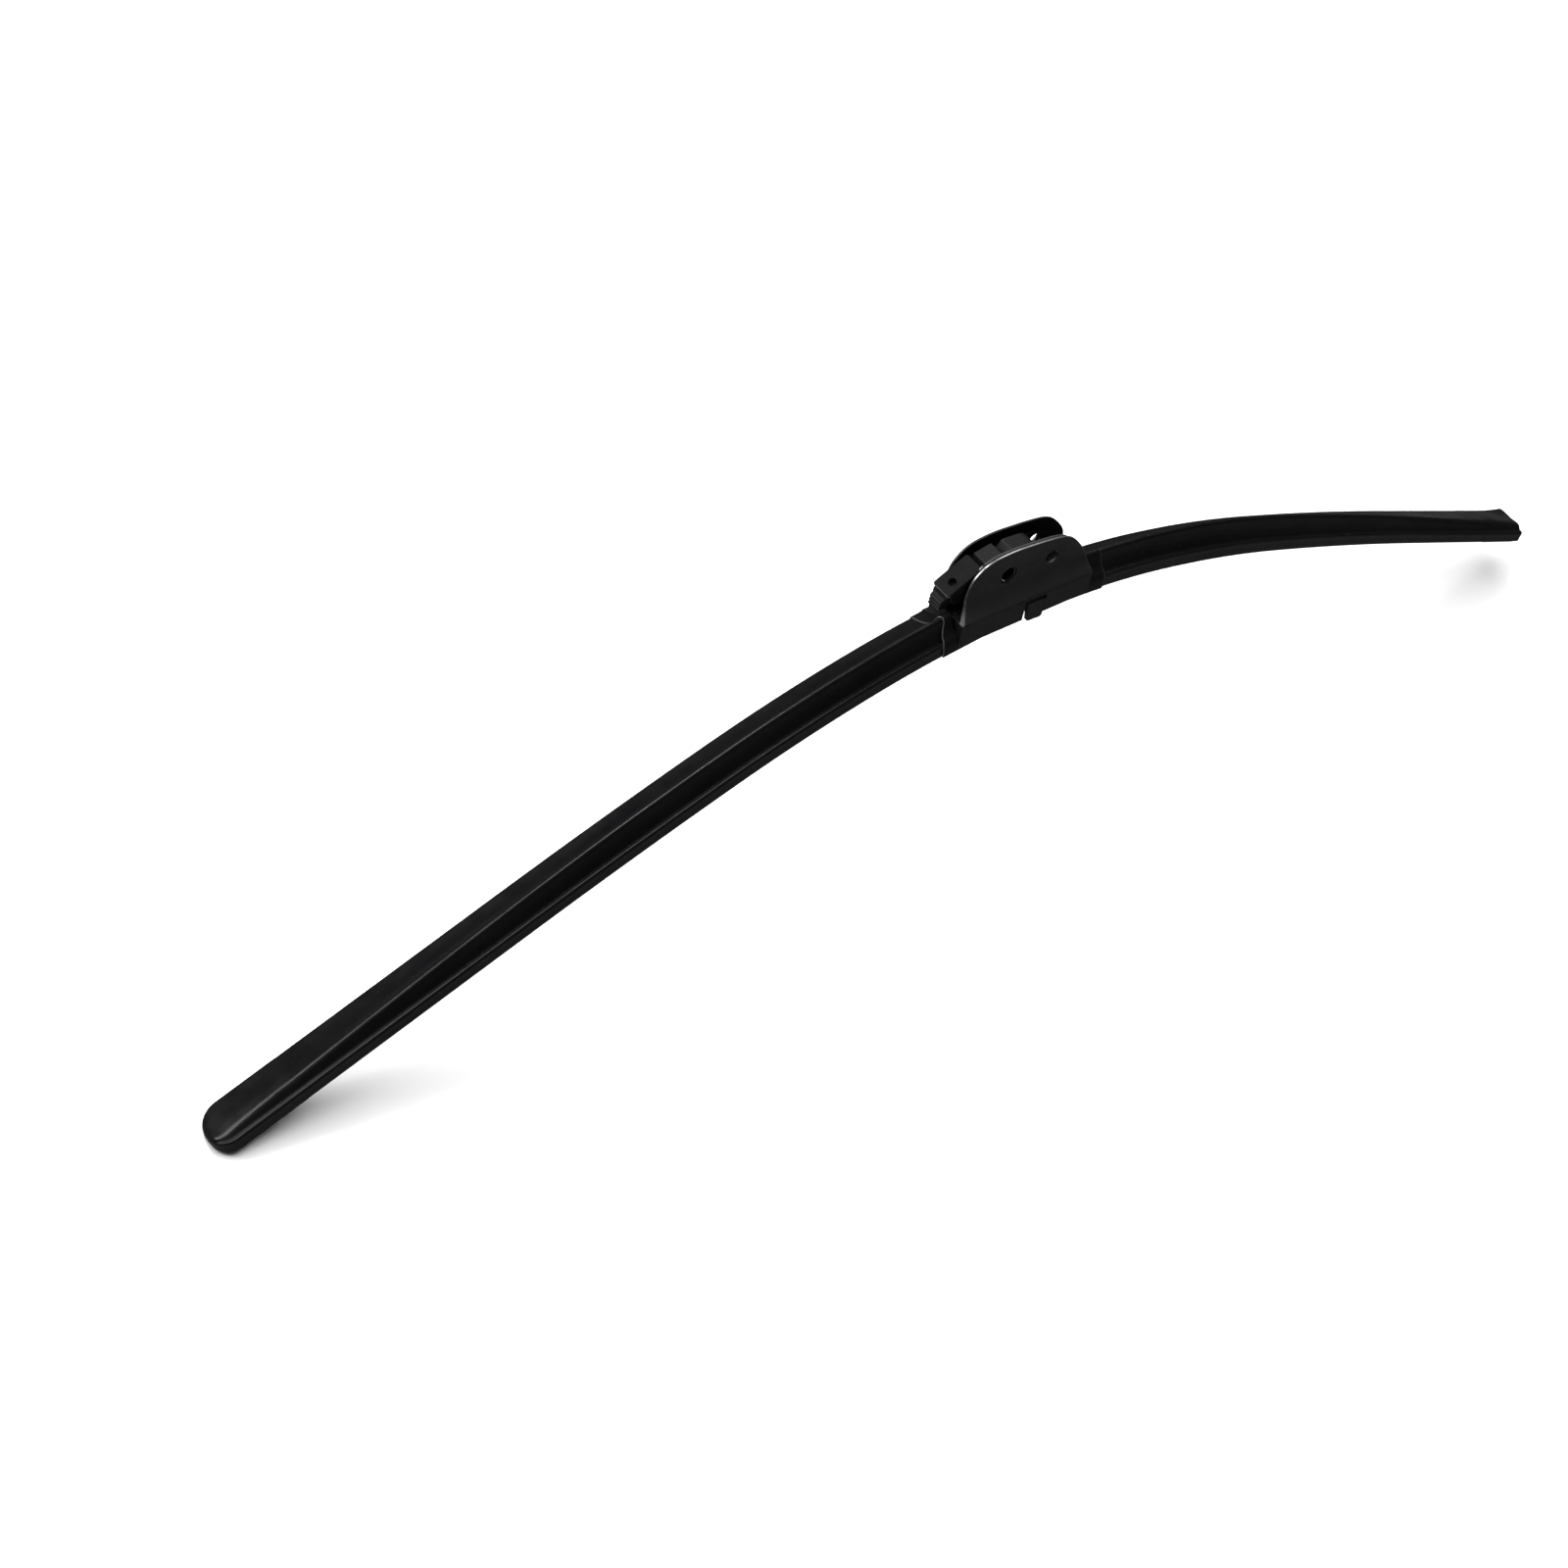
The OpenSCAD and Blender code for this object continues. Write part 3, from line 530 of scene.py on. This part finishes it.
# ---------------------------------------------------------------- plates
def plate_mesh(outline, holes, thickness, bevel):
    """A flat plate with rounded edges, drawn in the XZ plane and centred on y = 0, in millimetres."""
    curve = bpy.data.curves.new("plate", "CURVE")
    curve.dimensions = "2D"
    curve.fill_mode = "BOTH"
    for loop in [outline] + holes:
        spline = curve.splines.new("POLY")
        spline.points.add(len(loop) - 1)
        for point, (x, z) in zip(spline.points, loop):
            point.co = (x, z, 0.0, 1.0)
        spline.use_cyclic_u = True
    curve.extrude = max(0.0, thickness / 2 - bevel)
    curve.bevel_depth = bevel
    curve.offset = -bevel
    curve.bevel_resolution = 3
    obj = bpy.data.objects.new("plate", curve)
    bpy.context.scene.collection.objects.link(obj)
    bpy.context.view_layer.update()
    mesh = bpy.data.meshes.new_from_object(obj)
    bpy.data.objects.remove(obj)
    bpy.data.curves.remove(curve)
    bm = bmesh.new()
    bm.from_mesh(mesh)
    bpy.data.meshes.remove(mesh)
    for v in bm.verts:
        x, z, y = v.co
        v.co = (x, y, z)
    bmesh.ops.remove_doubles(bm, verts=bm.verts, dist=0.002)
    bmesh.ops.recalc_face_normals(bm, faces=bm.faces)
    return bm


def circle(x, z, radius, count=64):
    """A circle as a closed outline."""
    return [(x + radius * math.cos(2 * math.pi * i / count), z + radius * math.sin(2 * math.pi * i / count))
            for i in range(count)]


def rounded(points, radius, parts=5):
    """The same closed outline with its corners rounded."""
    out = []
    n = len(points)
    for i in range(n):
        a, b, c = (Vector(points[(i + k) % n]) for k in (-1, 0, 1))
        r = min(radius, (a - b).length * 0.45, (c - b).length * 0.45)
        p, q = b + (a - b).normalized() * r, b + (c - b).normalized() * r
        for k in range(parts + 1):
            s = k / parts
            out.append(tuple(p * (1 - s) ** 2 + b * 2 * s * (1 - s) + q * s ** 2))
    return out


def shift(bm, matrix):
    """The same mesh, moved or turned by a matrix."""
    bmesh.ops.transform(bm, matrix=matrix, verts=bm.verts)
    return bm


def join(name, parts, material, body, replaces, others):
    """One object out of several millimetre meshes, with another material where a test says so."""
    whole = bmesh.new()
    for part in parts:
        temp = bpy.data.meshes.new("part")
        part.to_mesh(temp)
        part.free()
        whole.from_mesh(temp)
        bpy.data.meshes.remove(temp)
    bmesh.ops.scale(whole, vec=(MM, MM, MM), verts=whole.verts)
    mesh = bpy.data.meshes.new(name)
    whole.to_mesh(mesh)
    whole.free()
    mesh.materials.append(material)
    for other, _ in others:
        mesh.materials.append(other)
    for p in mesh.polygons:
        p.use_smooth = True
        for i, (_, wanted) in enumerate(others):
            if wanted(p.center / MM, p.normal):
                p.material_index = i + 1
    mesh.set_sharp_from_angle(angle=math.radians(50))
    obj = bpy.data.objects.new(name, mesh)
    bpy.context.scene.collection.objects.link(obj)
    normals = obj.modifiers.new("normals", "WEIGHTED_NORMAL")
    normals.keep_sharp = True
    normals.weight = 70
    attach(obj, body)
    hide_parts(*replaces)
    return obj


# ---------------------------------------------------------------- bracket
SEAM = -9.4
SHEET = 0.9
# the middle of each wall's sheet, across the beam
WALL_Y = 5.05
SMALL_HOLE_X = 18.4
LARGE_HOLE, SMALL_HOLE = 3.3, 2.55
WALL_LINE = [
    (-20.9, -9.4), (-20.3, -8.8), (-19.5, -7.9), (-18.8, -7), (-18.2, -5.9), (-17.7, -4.5),
    (-17.3, -2.7), (-16.9, -0.8), (-16.5, 1.1), (-15.9, 3), (-15, 4.6), (-13.8, 6), (-12.5, 7.2),
    (-10.9, 8.2), (-8.9, 8.9), (-6.5, 9.4), (-3.4, 9.7), (0.3, 9.8), (3.9, 9.6), (7.4, 9.25),
    (11, 8.9), (14.5, 8.45), (17, 8.1), (19.2, 7.7), (21.2, 7.25), (23, 6.65), (24.7, 5.8),
    (26.3, 4.7), (28.2, 3), (29.9, 1.1), (31.4, -0.8), (32.6, -2.8), (33.3, -4.7), (33.7, -6.4),
    (34.1, -9.4)]
# how far the skirt of each wall leans out, by height
NEAR_FLARE = [
    (-9.4, -5.3), (-8.95, -5.15), (-8.5, -4.55), (-8, -3.85), (-7.45, -3.2), (-6.85, -2.6),
    (-6.2, -2.05), (-5.5, -1.55), (-4.75, -1.1), (-3.95, -0.72), (-3.1, -0.42), (-2.2, -0.2),
    (-1.2, -0.06), (-0.2, 0.0), (20, 0.0)]
FAR_FLARE = [
    (-9.4, 3.1), (-9, 2.9), (-8.35, 2.0), (-7.5, 1.25), (-6.5, 0.7), (-5.4, 0.32), (-4.2, 0.1),
    (-2.8, 0.0), (20, 0.0)]


def table(rows, z):
    """The value at z, along straight lines between rows of (z, value)."""
    if z <= rows[0][0]:
        return rows[0][1]
    for (z0, v0), (z1, v1) in zip(rows, rows[1:]):
        if z <= z1:
            return v0 + (v1 - v0) * (z - z0) / (z1 - z0)
    return rows[-1][1]


def wall_plate(side, outline, flare):
    """One wall with its two holes and its flared skirt."""
    holes = [circle(0, 0, LARGE_HOLE), circle(SMALL_HOLE_X, 0, SMALL_HOLE)]
    bm = plate_mesh(outline, holes, SHEET, 0.2)
    # level cuts let the wall bend outwards
    z = SEAM + 0.35
    while z < 0.5:
        geom = list(bm.verts) + list(bm.edges) + list(bm.faces)
        bmesh.ops.bisect_plane(bm, geom=geom, dist=0.0005, plane_co=(0, 0, z), plane_no=(0, 0, 1))
        z += 0.4
    for v in bm.verts:
        push = table(flare, v.co.z)
        # the foot of the skirt is thicker inwards
        inward = max(0.0, min(1.0, 0.5 - side * v.co.y / SHEET))
        v.co.y += side * WALL_Y + push * (1 - 0.3 * inward)
    return bm


top_line = smooth_line(WALL_LINE, 3)
near_wall = wall_plate(-1, top_line, NEAR_FLARE)
# the foot of the far wall starts farther back than that of the near wall
FAR_START = -17.35
far_line = [(FAR_START, SEAM)] + [p for p in top_line if p[0] > FAR_START or p[1] > -2]
far_wall = wall_plate(1, far_line, FAR_FLARE)
channel_floor = plate_mesh([(-20.7, -9.38), (33.9, -9.38), (33.9, -8.3), (-19.9, -8.3)], [], 10.2, 0.1)


def near_rim(centre, normal):
    """The cut edges of the near wall, outside its holes and above its lower left edge."""
    if centre.y > -4 or centre.z < SEAM + 0.3:
        return False
    if centre.x > 24:
        return normal.x > 0.15
    if abs(normal.y) > 0.72 or centre.z < -4.6:
        return False
    large = math.hypot(centre.x, centre.z) < LARGE_HOLE + 0.5
    small = math.hypot(centre.x - SMALL_HOLE_X, centre.z) < SMALL_HOLE + 0.45
    outer = centre.x < -10 or centre.z > 0
    return outer and not large and not small and (abs(normal.x) > 0.3 or centre.z > 5)


def low_rim(centre, normal):
    """The lower left edge of the near wall, painted pale grey as a highlight in place of the worn metal of
    the rest of the rim.
    """
    return centre.y < -4 and centre.x < -17 and SEAM + 0.3 < centre.z <= -4.6 and abs(normal.y) < 0.72


def inner_face(centre, normal):
    """The faces of the walls and the floor that look into the channel, which get painted shade."""
    return (centre.y > 4.3 and normal.y < -0.5) or (-4.8 < centre.y < -4.3 and normal.y > 0.5) or (
        abs(centre.y) < 4.3 and normal.z > 0.5)


join("bracket_sheet", [near_wall, far_wall, channel_floor], BRACKET, "blade", ("bracket",),
     ((WORN_EDGE, near_rim), (EDGE_PAINTED_HIGHLIGHT, low_rim), (INSIDE_PAINTED_SHADE, inner_face)))

# ---------------------------------------------------------------- adapter
# Outlines (x, z) seen from the near side.
NEAR_CHEEK = [
    (-22.4, -0.6), (-18.2, 2.1), (-13.2, 5.2), (-12.2, 6.9), (-10.5, 7.9), (-6.5, 9.1), (-3.2, 9.35),
    (0.3, 9.4), (3.9, 9.2), (7.4, 8.85), (11, 8.5), (14.5, 8.1), (18.9, 7.4), (22.6, 6.4), (24.8, 5),
    (25.4, 4), (25, 3.2), (15.6, 3.2), (14, 0), (11, -3.2), (6, -5), (0, -5.6), (-8, -5.8),
    (-14, -5.8), (-20.3, -5.8), (-21.9, -4.4)]
FAR_CHEEK = [
    (-22.4, -0.6), (-18.2, 2.1), (-13.2, 5.2), (-12.2, 5.5), (-11.2, 5.1), (0, 4.9), (14, 4.3),
    (17.6, 3.9), (20.4, 3.1), (22, 1.6), (22.3, 0), (22, -1.6), (21, -2.9), (19.2, -3.3),
    (16, -3.8), (12, -4.6), (6, -5.2), (0, -5.6), (-8, -5.8), (-14, -5.8), (-20.3, -5.8),
    (-21.9, -4.4)]
BLOCK = [(-10.3, 4.2), (-10.2, 7.5), (-3.2, 8.8), (-2.9, 4), (-4, 1.6), (-5.5, 1), (-8.9, 1)]
HIGH_BRIDGE = [
    (-0.9, 5.4), (1.2, 8.6), (8.8, 7.9), (10.4, 7.4), (11.6, 6.4), (12.2, 5), (12.4, 3), (3.9, 2.8),
    (1.5, 4.8)]
LOW_BRIDGE = [
    (3.6, 3.2), (5.6, 4.4), (10.6, 4.3), (12.2, 4.1), (13.4, 3.6), (14, 2.2), (14, 0), (11, -1),
    (6, -1), (3.9, 0.6)]
BUTTON_WALL = [(-13.6, -5.8), (-12.4, -5.8), (-12.4, 5.6), (-13.6, 4.8)]
CHEEK, CHEEK_Y = 0.8, 3.7
# the hub, the block and the high bridge lie a little towards the near cheek
INNER, INNER_Y = 5.7, -0.45
TUBE_HOLE = 3.32


def slab(outline, holes, thickness, bevel, y):
    """A plate of the adapter with its middle at y."""
    return shift(plate_mesh(outline, holes, thickness, bevel), Matrix.Translation((0, y, 0)))


tube_hole = circle(0, 0, TUBE_HOLE)
adapter_parts = [
    slab(rounded(NEAR_CHEEK, 1.2), [tube_hole], CHEEK, 0.18, -CHEEK_Y),
    slab(rounded(FAR_CHEEK, 1.0), [tube_hole, circle(SMALL_HOLE_X, 0, 2.6)], CHEEK, 0.18, CHEEK_Y),
    slab(circle(0, 0, 4.6), [tube_hole], INNER, 0.15, INNER_Y),
    slab(rounded(BLOCK, 0.5), [], INNER + 0.1, 0.22, INNER_Y),
    slab(rounded(HIGH_BRIDGE, 0.6), [], INNER + 0.1, 0.22, INNER_Y),
    slab(rounded(LOW_BRIDGE, 0.6), [], 6.7, 0.25, 0),
    slab(BUTTON_WALL, [], 6.6, 0.1, 0),
]
# roof of the nose: a thin sloping lid with rounded corners and a round hole
roof_low, roof_high = Vector((-23.95, -0.85)), Vector((-11.45, 6.35))
roof_dir = (roof_high - roof_low).normalized()
roof_tilt = math.atan2(roof_dir.y, roof_dir.x)
roof_length = (roof_high - roof_low).length
LID_HALF = 4.0
LID_HOLE = Vector((-20.0, 1.5))
lid = plate_mesh(
    rounded([(0, -LID_HALF), (roof_length, -LID_HALF), (roof_length, LID_HALF), (0, LID_HALF)], 1.1),
    [circle((LID_HOLE - roof_low).dot(roof_dir), 0.6, 1.4, 40)], 1.1, 0.28)
# the lid is drawn lying on its side, so its width is turned onto the Y axis first
shift(lid, Matrix.Rotation(math.radians(-90), 4, "X"))
for v in lid.verts:
    v.co.y *= -1
    v.co.z *= -1
shift(lid, Matrix.Translation((roof_low.x, 0, roof_low.y))
      @ Matrix.Rotation(-roof_tilt, 4, "Y") @ Matrix.Translation((0, 0, -0.45)))
bmesh.ops.recalc_face_normals(lid, faces=lid.faces)
adapter_parts.append(lid)


def lid_top(centre, normal):
    """The sloping top of the nose, which gets painted shade."""
    return centre.x < -11.2 and normal.z > 0.5 and normal.x < -0.3 and abs(centre.y) < 4.2


def lid_lip(centre, normal):
    """The front edge of the lid and its near rear corner, which get a painted highlight."""
    front = centre.x < -22.3 and centre.z > -2.6 and normal.x * 0.85 + normal.z * 0.53 < -0.3
    rear_corner = -12.6 < centre.x < -11 and centre.y < -3.3 and 5 < centre.z < 7.3
    return front or rear_corner


def cheek_top(centre, normal):
    """The top edge of the near cheek, which shows beside the near wall and gets a painted highlight."""
    return -4.2 < centre.y < -3.2 and centre.z > 5.5 and centre.x > -10.5 and normal.z > 0.3


def shaded(centre, normal):
    """The far cheek behind the nose, and the outside of the near cheek below its top, which get painted
    shade.
    """
    return centre.y > 3.2 and centre.x > -12 or centre.y < -3 and centre.z < 5 and normal.y < -0.5


join("adapter_body", adapter_parts, ADAPTER, "adapter", ("adapter",),
     ((SHADED, shaded), (EDGE_PAINTED_HIGHLIGHT, cheek_top), (LID_PAINTED_SHADE, lid_top), (LIP_PAINTED_HIGHLIGHT, lid_lip)))


# ---------------------------------------------------------------- pivot tube
def chamfer_glint(centre, _normal):
    """The two patches of the tube's near chamfer that get a painted glint."""
    radius = math.hypot(centre.x, centre.z)
    angle = math.degrees(math.atan2(centre.z, centre.x)) % 360
    return centre.y < -4.7 and radius < 2.78 and 196 < angle < 252 and not 222 < angle < 229


join("tube", [plate_mesh(circle(0, 0, 3.27, 96), [circle(0, 0, 2.45, 96)], 10.4, 0.28)], TUBE, "blade",
     ("pivot_tube",), ((CHAMFER_PAINTED_GLINT, chamfer_glint),))

# ---------------------------------------------------------------- leaf spring
# bent leaf between the button and the wall behind it
LEAF = [(-16.5, -4.4), (-16.2, -4.4), (-13.75, -2.2), (-16.2, 0), (-16.5, 0), (-16.5, -0.2), (-14.2, -2.2),
        (-16.5, -4.2)]
leaf = join("button_leaf", [plate_mesh(LEAF, [], 2.8, 0.05)], BRIGHT, "adapter", ("button_spring",), ())
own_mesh(leaf)

# ---------------------------------------------------------------- collars
# the sleeve's outside (y, n), from the front skirt over the crest to the back
COLLAR_LINE = [
    (-1.45, -4.8), (-1.42, -3), (-1.25, -1.2), (-0.85, 0.1), (-0.25, 1), (0.7, 1.75), (1.7, 2.9),
    (2.55, 4.4), (3.15, 6.1), (3.5, 6.85), (4.05, 7.3), (4.65, 7.4), (5.45, 7.15), (6.05, 6.3),
    (6.75, 4.5), (7.9, 2.5), (9.4, 0.8), (11.4, -0.65), (13.8, -1.85), (16.1, -2.75),
    (17.05, -3.25), (17.35, -3.9), (17.35, -4.8)]
# how the free edge leans round the sleeve, from the front skirt (0) to the back (1)
COLLAR_LEAN = [(0.0, 1.5), (0.12, 1.4), (0.25, 0.5), (0.36, -1.2), (0.46, -1.2), (0.62, 0.0), (1.0, 0.2)]


def make_collar(name, side, wall_x, end, wave):
    """A sleeve of one sheet, closed against the base, open below, with a rounded, wavy free edge."""
    outline = centred(smooth_line(COLLAR_LINE, 4))
    count = len(outline)

    def inset(i, d):
        a, b = Vector(outline[max(i - 1, 0)]), Vector(outline[min(i + 1, count - 1)])
        normal = Vector((b.y - a.y, -(b.x - a.x)))
        normal.normalize()
        return Vector(outline[i]) + normal * d

    def edge(i):
        # the free edge is long at the front skirt and shorter at the crest
        return end + wave * table(COLLAR_LEAN, i / (count - 1))

    start = abs(wall_x - APEX_X) + 0.2
    rows = []
    lip = 0.3
    sleeve = 0.34
    for f in (0, 0.25, 0.5, 0.75, 0.9, 1.0):
        rows.append([(start + (edge(i) - lip - start) * f, inset(i, 0)) for i in range(count)])
    for k in range(1, 7):
        a = math.radians(15 * k)
        rows.append([(edge(i) - lip + lip * math.sin(a), inset(i, lip * (1 - math.cos(a))))
                     for i in range(count)])
    rows.append([(edge(i) - 0.1, inset(i, sleeve)) for i in range(count)])
    rows.append([(edge(i) - 1.5, inset(i, sleeve)) for i in range(count)])
    bm = bmesh.new()
    grid = [[bm.verts.new(place(side * s, q.x, q.y)) for s, q in row] for row in rows]
    for a, b in zip(grid, grid[1:]):
        for j in range(count - 1):
            bm.faces.new((a[j], a[j + 1], b[j + 1], b[j]))
    # flat wall that closes the sleeve against the base
    bm.faces.new(grid[0])
    obj = finish_mesh(name + "_skin", bm, COLLAR, "blade", (name,), 60)
    obj.data.materials.append(LIP_PAINTED_HIGHLIGHT)
    # the rounded edge is made of the bands 5 to 10, and gets a painted highlight
    lip_from, lip_to = 5 * (count - 1), 11 * (count - 1)
    for p in obj.data.polygons:
        if lip_from <= p.index < lip_to:
            p.material_index = 1


make_collar("collar_left", -1, -21.1, 36.0, 1.0)
make_collar("collar_right", 1, 34.1, 31.2, 0.3)

# ---------------------------------------------------------------- stage
stage_lo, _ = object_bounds()


def floor_material():
    m, nt, bsdf = new_material("pale_floor")
    plain = stretched(nt, (1, 1, 1))
    tone = mix_colour(nt, noise(nt, plain, 3.0, 2.0), (0.86, 0.86, 0.86), (0.9, 0.9, 0.9))
    nt.links.new(tone, bsdf.inputs["Base Color"])
    bsdf.inputs["Roughness"].default_value = 0.9
    bsdf.inputs["Specular IOR Level"].default_value = 0.1
    return m


# the floor lies just under the lowest point
FLOOR_GAP = 0.0002
bpy.ops.mesh.primitive_plane_add(size=12.0, location=(0, 0, stage_lo.z - FLOOR_GAP))
floor = bpy.context.object
floor.name = "floor"
floor.data.materials.append(floor_material())
# the object mirrors the dim studio and not the bright floor
floor.visible_glossy = False

world = bpy.data.worlds.new("studio")
bpy.context.scene.world = world
world.use_nodes = True
sky = world.node_tree
sky_coord = sky.nodes.new("ShaderNodeTexCoord")
sky_split = sky.nodes.new("ShaderNodeSeparateXYZ")
sky_ramp = sky.nodes.new("ShaderNodeValToRGB")
sky.links.new(sky_coord.outputs["Generated"], sky_split.inputs[0])
sky.links.new(ramp(sky, sky_split.outputs["Z"], -1.0, 1.0, 0.0, 1.0), sky_ramp.inputs[0])
sky.links.new(sky_ramp.outputs[0], sky.nodes["Background"].inputs[0])
# brightest below, dark at the horizon, dim above
stops_of_sky = ((0.0, 0.13), (0.33, 0.12), (0.45, 0.022), (0.54, 0.02), (0.72, 0.085), (1.0, 0.1))
while len(sky_ramp.color_ramp.elements) < len(stops_of_sky):
    sky_ramp.color_ramp.elements.new(0.5)
for element, (place_on_ramp, level) in zip(sky_ramp.color_ramp.elements, stops_of_sky):
    element.position = place_on_ramp
    element.color = (level, level, level * 1.03, 1.0)


def area_light(name, location, target, size, power):
    data = bpy.data.lights.new(name, "AREA")
    data.shape = "SQUARE"
    data.size = size
    data.energy = power
    obj = bpy.data.objects.new(name, data)
    obj.location = location
    obj.rotation_mode = "QUATERNION"
    direction = Vector(target) - Vector(location)
    obj.rotation_quaternion = direction.to_track_quat("-Z", "Y")
    bpy.context.scene.collection.objects.link(obj)
    return obj


# name, place, point it faces, size and power
area_light("key_back_left", (-1.05, 0.75, 0.8), (0, 0, -0.03), 0.8, 15.0)
area_light("top_back", (-0.24, 0.72, 1.3), (-0.1, 0, -0.03), 0.55, 9.0)
area_light("back_right", (0.8, 0.75, 1.05), (0.05, 0, -0.03), 0.6, 3.5)
# the overhead light is there for the floor, so the object doesn't mirror it
area_light("overhead", (-0.1, 0.0, 1.7), (0, 0, -0.1), 1.8, 52.0).visible_glossy = False

# ---------------------------------------------------------------- camera
# the camera's place is measured from the highest point of the ledge line along the front
CAMERA_AT = (Vector((-888.8, -715.2, 1013.4)) + Vector((APEX_X, -MID_Y, APEX_Z))) * MM
RIGHT = Vector((0.77599, -0.60604, 0.17480))
UP = Vector((0.34151, 0.63669, 0.69137))
FORWARD = Vector((0.53029, 0.47680, -0.70104))
camera_data = bpy.data.cameras.new("photo_camera")
SENSOR = 36.0
FOCAL_PIXELS, FRAME_PIXELS = 4862.9, 1600.0
camera_data.sensor_width = SENSOR
camera_data.lens = FOCAL_PIXELS * SENSOR / FRAME_PIXELS
camera_data.clip_start, camera_data.clip_end = 0.01, 100.0
camera = bpy.data.objects.new("photo_camera", camera_data)
rotation = Matrix((RIGHT, UP, -FORWARD)).transposed().to_4x4()
camera.matrix_world = Matrix.Translation(CAMERA_AT) @ rotation
bpy.context.scene.collection.objects.link(camera)
bpy.context.scene.camera = camera
bpy.context.scene.view_settings.view_transform = "Standard"
